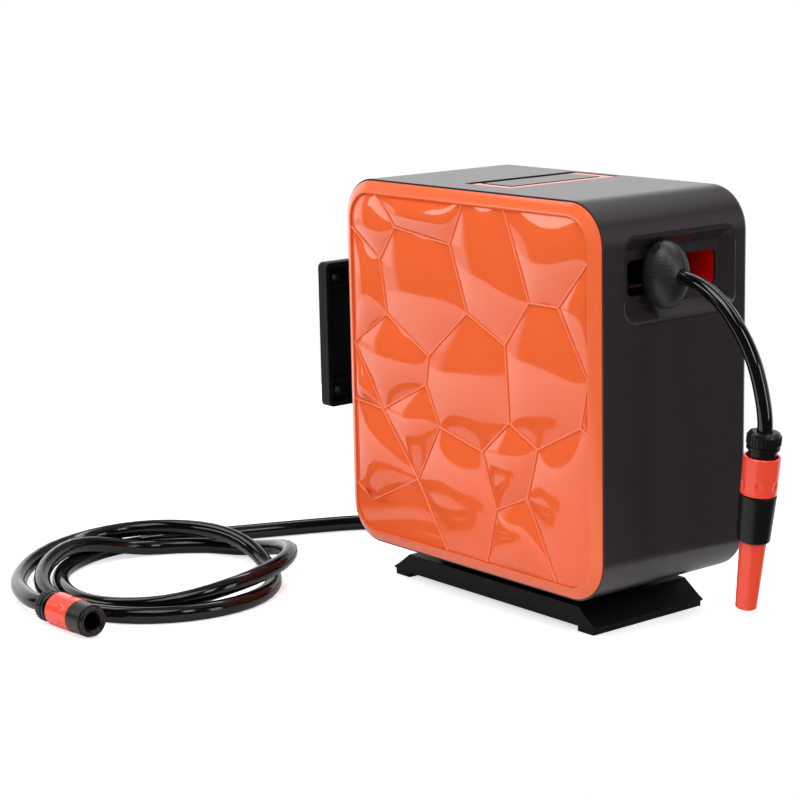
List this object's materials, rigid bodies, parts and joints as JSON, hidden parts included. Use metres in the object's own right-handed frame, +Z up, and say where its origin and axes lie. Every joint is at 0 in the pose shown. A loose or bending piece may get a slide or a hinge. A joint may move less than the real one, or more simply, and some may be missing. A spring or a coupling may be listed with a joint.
{
  "type": "hose reel box",
  "caption": "Closed garden hose reel with a pillow-faceted front, spring rewind drum, level-winding hose guide, spray nozzle, leader hose, fold-down handle, floor stand and wall bracket.",
  "frame": {"origin": "on the floor under the middle of the floor stand", "axes": "+Z up, the front panel faces -Y, the hose leaves at +X, the wall bracket is at -X"},
  "size_m": [0.7661, 0.5937, 0.42],
  "materials": {
    "shell": "fine-grained dark grey moulding",
    "orange": "glossy orange moulding",
    "red": "satin dark red",
    "steel": "turned steel",
    "alloy": "turned aluminium",
    "drum": "moulded grey",
    "nylon": "natural nylon",
    "brass": "machined brass",
    "rubber": "matt black rubber",
    "hose": "glossy black hose",
    "fitting": "satin black fitting",
    "coral": "glossy coral red",
    "stand": "textured black moulding"
  },
  "bodies": {
    "casing": {"main_shell": "shell", "front_bezel": "orange", "facet_panel": "orange", "rear_cover": "shell", "outlet_surround": "shell", "hose_port_liner": "red", "case_screws": "steel", "drum_axle": "alloy", "spring_arbor": "steel", "power_spring": "steel", "pawl_pin": "steel", "pawl_spring": "steel", "idler_pin": "steel", "screw_bushes": "nylon", "guide_rod": "steel", "inlet_elbow": "fitting", "inlet_nut": "fitting", "leader_hose": "hose", "leader_coil": "hose", "leader_nut": "fitting", "leader_socket": "fitting", "handle_pins": "steel", "base_stand": "stand", "base_screws": "steel", "swivel_arm": "stand", "arm_screws": "steel", "pivot_pin": "steel"},
    "drum": {"drum_core": "drum", "front_flange": "drum", "rear_flange": "drum", "drum_bushes": "nylon", "water_swivel": "brass", "swivel_seals": "rubber", "hose_pack": "hose", "hose_winding": "hose", "spring_case": "drum", "spring_cover": "drum", "ratchet_wheel": "steel", "drum_gear": "nylon"},
    "idler": {"idler_gear": "nylon"},
    "traverse": {"traverse_screw": "steel", "traverse_gear": "nylon"},
    "guide": {"hose_guide": "stand", "guide_nut": "brass", "ball_upper": "stand", "ball_lower": "stand", "ball_screws": "steel", "delivery_hose": "hose", "hose_nut": "fitting", "connector_body": "fitting", "nozzle_grip": "fitting"},
    "collar": {"nozzle_collar": "coral"},
    "tip": {"nozzle_tip": "coral"},
    "tap_collar": {"leader_collar": "coral"},
    "pawl_arm": {"pawl": "steel"},
    "handle": {"carry_handle": "orange"},
    "bracket": {"wall_plate": "stand"}
  },
  "joints": [
    {"name": "drum_spin", "type": "hinge", "parent": "casing", "child": "drum", "pos_m": [0, 0, 0.23], "axis": [0, 1, 0], "continuous": true},
    {"name": "idler_spin", "type": "hinge", "parent": "casing", "child": "idler", "pos_m": [0.0627, 0, 0.27969], "axis": [0, 1, 0], "continuous": true},
    {"name": "traverse_spin", "type": "hinge", "parent": "casing", "child": "traverse", "pos_m": [0.11599, 0, 0.32193], "axis": [0, 1, 0], "continuous": true},
    {"name": "guide_slide", "type": "slide", "parent": "casing", "child": "guide", "axis": [0, 1, 0], "range_m": [-0.02, 0.06]},
    {"name": "pawl_swing", "type": "hinge", "parent": "casing", "child": "pawl_arm", "pos_m": [-0.06062, 0, 0.265], "axis": [0, -1, 0], "range_deg": [0, 6]},
    {"name": "handle_fold", "type": "hinge", "parent": "casing", "child": "handle", "pos_m": [-0.033, 0, 0.4145], "axis": [0, -1, 0], "range_deg": [0, 90]},
    {"name": "bracket_swivel", "type": "hinge", "parent": "casing", "child": "bracket", "pos_m": [-0.262, 0, 0.239], "axis": [0, 0, 1], "range_deg": [-75, 75]},
    {"name": "nozzle_collar_slide", "type": "slide", "parent": "guide", "child": "collar", "axis": [0.1219, 0, 0.9925], "range_m": [0, 0.004]},
    {"name": "nozzle_tip_twist", "type": "hinge", "parent": "guide", "child": "tip", "pos_m": [0.318, -0.022, 0.219], "axis": [0.1219, 0, 0.9925], "range_deg": [0, 300]},
    {"name": "leader_collar_slide", "type": "slide", "parent": "casing", "child": "tap_collar", "axis": [-0.9994, -0.0349, 0], "range_m": [0, 0.004]}
  ],
  "couplings": [
    {"joint": "idler_spin", "follows": "drum_spin", "ratio": -1.2222},
    {"joint": "traverse_spin", "follows": "drum_spin", "ratio": 1.375}
  ]
}
